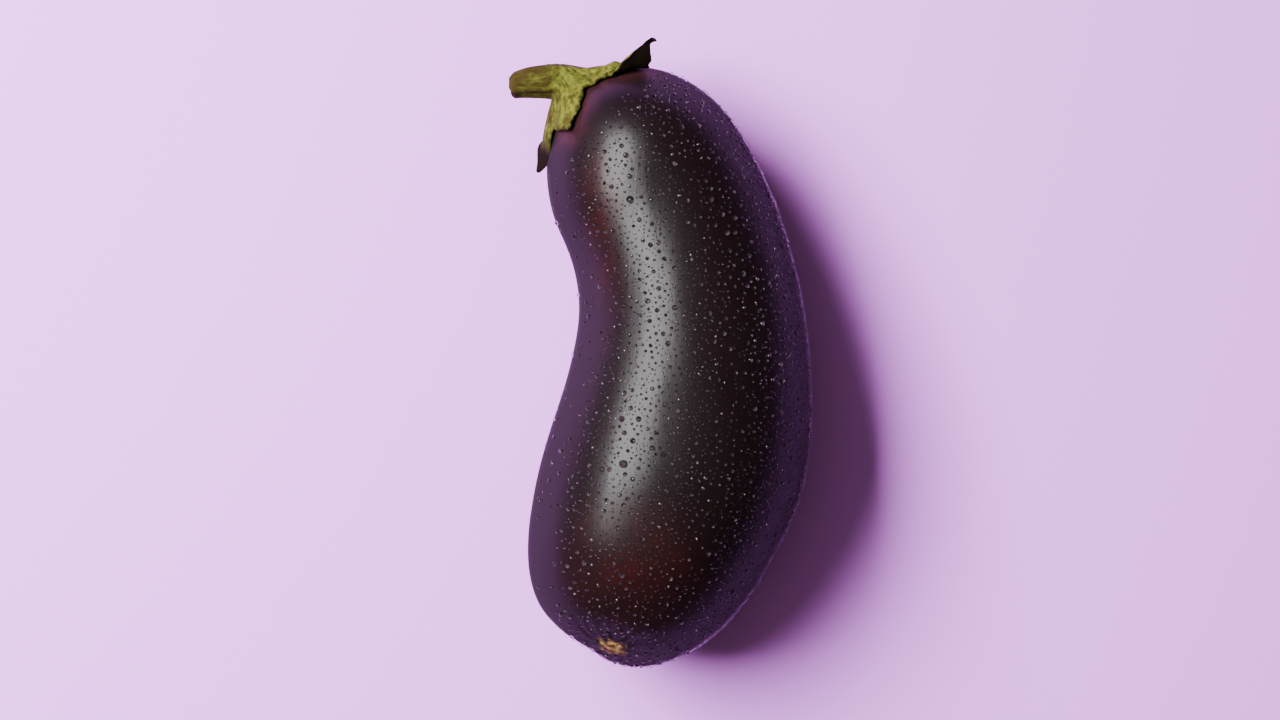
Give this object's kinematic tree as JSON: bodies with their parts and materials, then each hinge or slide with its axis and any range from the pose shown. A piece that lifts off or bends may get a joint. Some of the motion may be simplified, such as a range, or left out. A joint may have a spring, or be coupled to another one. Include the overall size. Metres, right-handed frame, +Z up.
{
  "type": "eggplant",
  "caption": "Dark glossy eggplant lying on its side: a curved body, fuller at the blossom end, with a pointed-lobed green calyx and a short cut stem.",
  "frame": {"origin": "middle of the footprint, on the surface that the eggplant lies on", "axes": "+Y towards the stem end, +X towards the outer side of the curve, +Z up"},
  "size_m": [0.1018, 0.2094, 0.0835],
  "materials": {
    "glossy_skin": "gloss",
    "green_calyx": "matte",
    "water_drops": "gloss"
  },
  "bodies": {
    "root": {"fruit": "glossy_skin", "calyx_with_stem": "green_calyx"}
  },
  "joints": []
}
